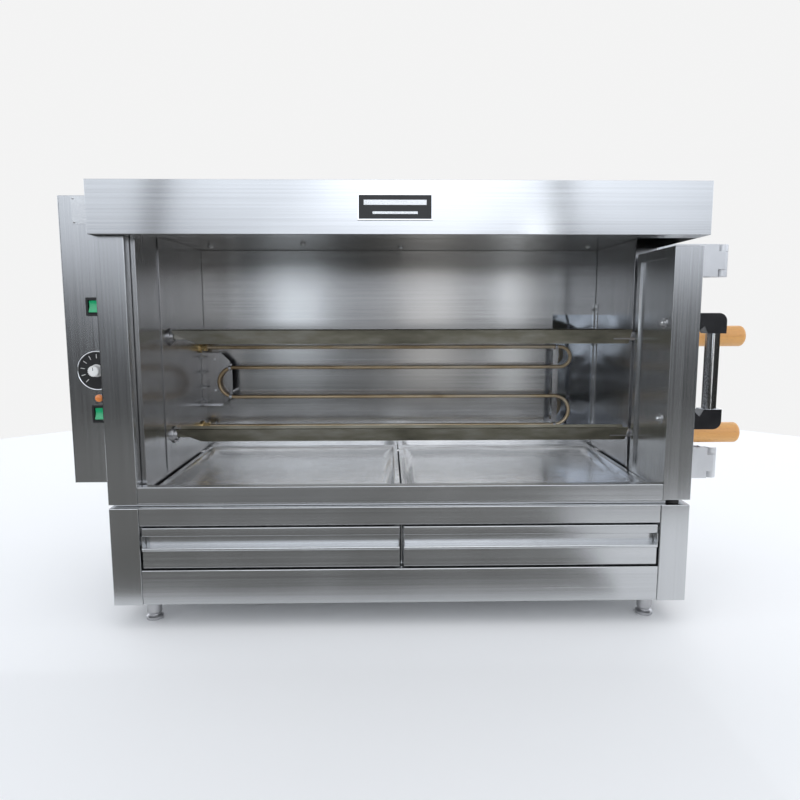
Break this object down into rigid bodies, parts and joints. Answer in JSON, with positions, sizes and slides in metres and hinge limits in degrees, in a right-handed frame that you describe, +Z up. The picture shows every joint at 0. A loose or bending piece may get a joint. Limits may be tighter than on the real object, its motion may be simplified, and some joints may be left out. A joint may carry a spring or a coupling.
{
  "type": "rotisserie oven",
  "caption": "Open-fronted electric rotisserie oven with motor-driven V spits, a side door on offset hinges, drip pans, plinth drawers and a side control box.",
  "frame": {"origin": "on the floor under the middle of the whole object's box", "axes": "+X to the right seen from the open front, +Y to the back, +Z up"},
  "size_m": [1.276, 0.48, 0.759],
  "materials": {
    "brushed_stainless": "satin brushed stainless sheet, grain along the length",
    "polished_stainless": "bright polished stainless sheet",
    "spit_steel": "satin stainless angle",
    "turned_steel": "machined steel, semi-matte",
    "heater_sheath": "heat-tinted sheath, semi-matte",
    "brass_fitting": "plain brass",
    "motor_casting": "cast aluminium, matte",
    "hinge_casting": "light grey cast metal, satin",
    "turned_wood": "oiled light hardwood",
    "black_moulding": "black moulded plastic, semi-gloss",
    "chrome_tube": "polished chrome",
    "green_rocker": "translucent green moulding",
    "white_knob": "white moulding",
    "amber_lens": "amber lens",
    "rubber_rest": "black rubber"
  },
  "bodies": {
    "oven_body": {"base_side_left": "brushed_stainless", "base_side_right": "brushed_stainless", "base_top_rail": "brushed_stainless", "base_tray": "brushed_stainless", "drawer_divider": "brushed_stainless", "chamber_frame": "brushed_stainless", "chamber_front_rail": "brushed_stainless", "left_post": "brushed_stainless", "left_outer_panel": "brushed_stainless", "left_inner_panel": "brushed_stainless", "rear_cover": "brushed_stainless", "right_rear_wall": "brushed_stainless", "hood": "brushed_stainless", "ceiling_panel": "brushed_stainless", "control_box": "brushed_stainless", "control_box_cover": "brushed_stainless", "back_reflector": "polished_stainless", "spit_bearing_lower": "turned_steel", "spit_bearing_upper": "turned_steel", "drive_chain": "turned_steel", "foot_front_left": "turned_steel", "foot_front_right": "turned_steel", "foot_rear_left": "turned_steel", "foot_rear_right": "turned_steel", "heater_element": "heater_sheath", "heater_gland_lower": "brass_fitting", "heater_gland_upper": "brass_fitting", "gearmotor": "motor_casting", "hinge_bracket_lower": "hinge_casting", "hinge_bracket_upper": "hinge_casting", "switch_body_lower": "black_moulding", "switch_body_upper": "black_moulding", "thermostat": "black_moulding", "cable_gland": "black_moulding", "pilot_lamp": "amber_lens", "door_buffer": "rubber_rest"},
    "door": {"door": "brushed_stainless", "hinge_arm_upper": "hinge_casting", "hinge_arm_lower": "hinge_casting", "door_handle_end_upper": "black_moulding", "door_handle_end_lower": "black_moulding", "door_handle_tube": "chrome_tube"},
    "left_drawer": {"drawer_front_left": "brushed_stainless", "drawer_pan_left": "brushed_stainless"},
    "right_drawer": {"drawer_front_right": "brushed_stainless", "drawer_pan_right": "brushed_stainless"},
    "left_drip_pan": {"drip_pan_left": "polished_stainless"},
    "right_drip_pan": {"drip_pan_right": "polished_stainless"},
    "upper_spit": {"spit_upper": "spit_steel", "spit_shaft_upper": "turned_steel", "spit_handle_upper": "turned_wood", "drive_shaft_upper": "turned_steel"},
    "lower_spit": {"spit_lower": "spit_steel", "spit_shaft_lower": "turned_steel", "spit_handle_lower": "turned_wood", "drive_shaft_lower": "turned_steel"},
    "motor_output": {"motor_sprocket": "turned_steel"},
    "thermostat_dial": {"thermostat_knob": "white_knob"},
    "upper_switch": {"rocker_upper": "green_rocker"},
    "lower_switch": {"rocker_lower": "green_rocker"}
  },
  "joints": [
    {"name": "door_swing", "type": "hinge", "parent": "oven_body", "child": "door", "pos_m": [0.588, -0.042, 0.4435], "axis": [0, 0, 1], "range_deg": [0, 180]},
    {"name": "left_drawer_slide", "type": "slide", "parent": "oven_body", "child": "left_drawer", "axis": [0, -1, 0], "range_m": [0, 0.33]},
    {"name": "right_drawer_slide", "type": "slide", "parent": "oven_body", "child": "right_drawer", "axis": [0, -1, 0], "range_m": [0, 0.33]},
    {"name": "left_drip_pan_lift", "type": "slide", "parent": "oven_body", "child": "left_drip_pan", "axis": [0, 0, 1], "range_m": [0, 0.045]},
    {"name": "right_drip_pan_lift", "type": "slide", "parent": "oven_body", "child": "right_drip_pan", "axis": [0, 0, 1], "range_m": [0, 0.045]},
    {"name": "upper_spit_turn", "type": "hinge", "parent": "oven_body", "child": "upper_spit", "pos_m": [-0.031, -0.042, 0.505], "axis": [1, 0, 0], "continuous": true},
    {"name": "lower_spit_turn", "type": "hinge", "parent": "oven_body", "child": "lower_spit", "pos_m": [-0.031, -0.042, 0.315], "axis": [1, 0, 0], "continuous": true},
    {"name": "motor_turn", "type": "hinge", "parent": "oven_body", "child": "motor_output", "pos_m": [-0.543, 0.08, 0.41], "axis": [1, 0, 0], "continuous": true},
    {"name": "thermostat_turn", "type": "hinge", "parent": "oven_body", "child": "thermostat_dial", "pos_m": [-0.5845, -0.12, 0.446], "axis": [0, 1, 0], "range_deg": [0, 270]},
    {"name": "upper_switch_rock", "type": "hinge", "parent": "oven_body", "child": "upper_switch", "pos_m": [-0.5845, -0.106, 0.5615], "axis": [1, 0, 0], "range_deg": [0, 18]},
    {"name": "lower_switch_rock", "type": "hinge", "parent": "oven_body", "child": "lower_switch", "pos_m": [-0.5845, -0.106, 0.366], "axis": [1, 0, 0], "range_deg": [0, 18]}
  ],
  "couplings": [
    {"joint": "lower_spit_turn", "follows": "upper_spit_turn", "ratio": 1},
    {"joint": "motor_turn", "follows": "upper_spit_turn", "ratio": 1}
  ]
}
